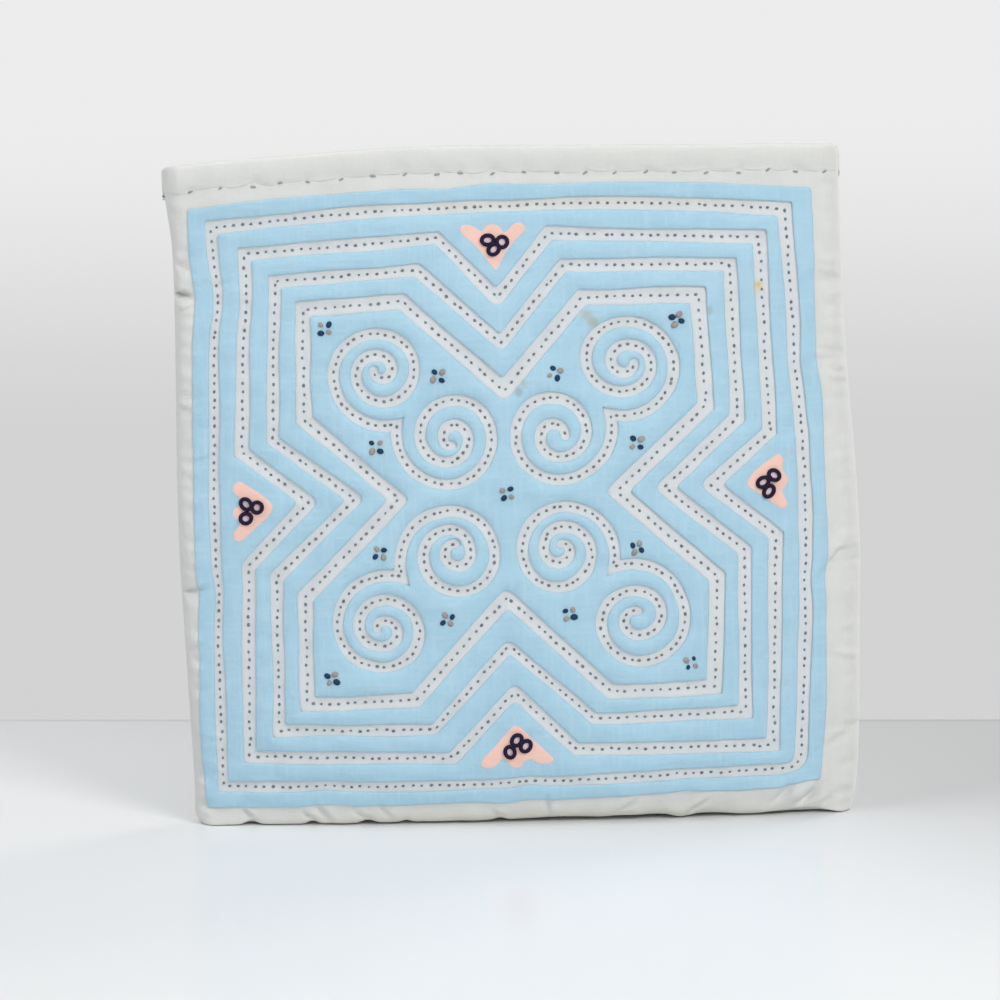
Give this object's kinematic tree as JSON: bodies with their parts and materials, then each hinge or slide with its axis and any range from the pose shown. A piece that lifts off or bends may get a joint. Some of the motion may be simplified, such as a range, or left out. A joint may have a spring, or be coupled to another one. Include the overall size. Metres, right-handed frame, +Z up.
{
  "type": "zipper pouch",
  "caption": "Soft square cotton zipper pouch that stands on its lower edge, its face in blue and white reverse applique with snail spirals and small pink patches.",
  "frame": {"origin": "middle of the base, on the surface that the pouch stands on", "axes": "+Z up, +X to the right of the decorated face, which looks along -Y"},
  "size_m": [0.1554, 0.0314, 0.1539],
  "materials": {
    "white_cotton": "plain-woven off-white cotton, matt",
    "blue_cotton": "plain-woven light blue cotton, matt",
    "pink_cotton": "plain-woven pale pink cotton, matt",
    "zipper_tape": "woven off-white tape",
    "zipper_teeth": "off-white nylon coil",
    "zipper_metal": "satin metal"
  },
  "bodies": {
    "root": {"front_panel": "white_cotton", "back_panel": "white_cotton", "base_panel": "white_cotton", "front_hem": "white_cotton", "back_hem": "white_cotton", "blue_border": "blue_cotton", "blue_ring_outer": "blue_cotton", "blue_ring_middle": "blue_cotton", "blue_ring_inner": "blue_cotton", "blue_field": "blue_cotton", "pink_top": "pink_cotton", "pink_right": "pink_cotton", "pink_bottom": "pink_cotton", "pink_left": "pink_cotton", "zipper_tape_front": "zipper_tape", "zipper_tape_back": "zipper_tape", "zipper_chain": "zipper_teeth", "zipper_slider": "zipper_metal"}
  },
  "joints": []
}
